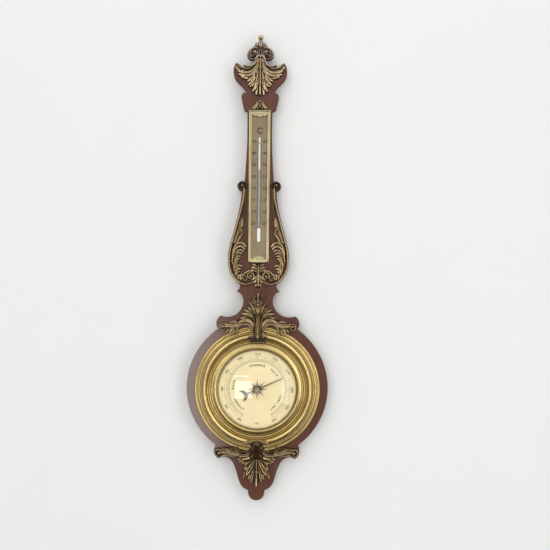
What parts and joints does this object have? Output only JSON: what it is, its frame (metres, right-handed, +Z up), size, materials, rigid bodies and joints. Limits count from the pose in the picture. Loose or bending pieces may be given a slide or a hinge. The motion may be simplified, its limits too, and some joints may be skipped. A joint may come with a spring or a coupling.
{
  "type": "aneroid wall barometer",
  "caption": "Banjo-shaped aneroid wall barometer: carved mahogany board with gilt mounts, thermometer on the neck, brass-ringed dial with indicator and set hands.",
  "frame": {"origin": "centre of the hanger's round hole, on the face of the plate that looks at the wall", "axes": "+Z up along the board, +Y into the wall, +X to the viewer's right, so the dial faces -Y"},
  "size_m": [0.2256, 0.0459, 0.7467],
  "materials": {
    "mahogany": "gloss",
    "gilt_casting": "aged",
    "gilt_finial": "aged",
    "polished_brass": "polished",
    "ball_brass": "polished",
    "frame_brass": "satin",
    "scale_bronze": "satin",
    "tube_glass": "clear",
    "liquid_grey": "gloss",
    "white_guard": "gloss",
    "pin_brass": "satin",
    "dial_enamel": "satin",
    "dial_glass": "clear",
    "dark_hand": "satin",
    "set_hand_brass": "satin",
    "knob_brass": "polished",
    "case_steel": "satin",
    "movement_brass": "satin",
    "capsule_alloy": "satin",
    "spring_steel": "satin",
    "screw_steel": "satin",
    "hanger_steel": "satin",
    "bumper_rubber": "matte",
    "dowel_wood": "matte"
  },
  "bodies": {
    "barometer_body": {"backboard": "mahogany", "finial_dowel": "dowel_wood", "finial_carving": "gilt_finial", "finial_ball": "ball_brass", "crest_leaf_mount": "gilt_casting", "pediment_mount": "gilt_casting", "thermometer_frame": "frame_brass", "thermometer_scale_plate": "scale_bronze", "thermometer_tube": "tube_glass", "thermometer_liquid": "liquid_grey", "bulb_guard": "white_guard", "tube_clips": "pin_brass", "frame_pins": "pin_brass", "side_mount_left": "gilt_casting", "side_mount_right": "gilt_casting", "pear_bottom_mount": "gilt_casting", "upper_dial_mount": "gilt_casting", "lower_dial_mount": "gilt_casting", "mount_pins": "pin_brass", "outer_bezel_ring": "polished_brass", "sight_bezel": "polished_brass", "dial_glass": "dial_glass", "glass_retainer": "movement_brass", "glass_bush": "knob_brass", "dial_plate": "dial_enamel", "movement_case": "case_steel", "case_screws": "screw_steel", "movement_base_plate": "movement_brass", "base_plate_screws": "screw_steel", "capsule_lower": "capsule_alloy", "capsule_upper": "capsule_alloy", "spring_bridge": "movement_brass", "bridge_screws": "screw_steel", "rocker_bearings": "movement_brass", "arbor_cock": "movement_brass", "cock_pillars": "movement_brass", "hairspring": "spring_steel", "hairspring_stud": "movement_brass", "chain": "spring_steel", "hanger_plate": "hanger_steel", "hanger_screws": "screw_steel", "wall_bumpers": "bumper_rubber"},
    "pointer": {"pointer_arbor": "spring_steel", "arbor_drum": "movement_brass", "indicator_hand": "dark_hand"},
    "set_pointer": {"set_hand": "set_hand_brass", "set_hand_knob": "knob_brass"},
    "rocker": {"rocker_shaft": "spring_steel", "rocker_arm": "movement_brass"},
    "spring_lever": {"main_spring": "spring_steel", "capsule_post": "movement_brass", "main_lever": "movement_brass", "link_rod": "spring_steel"},
    "adjuster": {"calibration_screw": "screw_steel"}
  },
  "joints": [
    {"name": "pointer_turn", "type": "hinge", "parent": "barometer_body", "child": "pointer", "pos_m": [0, -0.022, -0.46], "axis": [0, 1, 0], "range_deg": [-216, 84]},
    {"name": "set_hand_turn", "type": "hinge", "parent": "barometer_body", "child": "set_pointer", "pos_m": [0, -0.03, -0.46], "axis": [0, 1, 0], "continuous": true},
    {"name": "rocker_swing", "type": "hinge", "parent": "barometer_body", "child": "rocker", "pos_m": [0, 0.0004, -0.492], "axis": [1, 0, 0], "range_deg": [-23.04, 8.96]},
    {"name": "spring_flex", "type": "hinge", "parent": "barometer_body", "child": "spring_lever", "pos_m": [0, -0.007, -0.414], "axis": [1, 0, 0], "range_deg": [-1.73, 0.67]},
    {"name": "adjuster_turn", "type": "hinge", "parent": "barometer_body", "child": "adjuster", "pos_m": [0, 0.0055, -0.411], "axis": [0, 1, 0], "continuous": true}
  ],
  "couplings": [
    {"joint": "rocker_swing", "follows": "pointer_turn", "ratio": 0.10667},
    {"joint": "spring_flex", "follows": "pointer_turn", "ratio": 0.008}
  ]
}
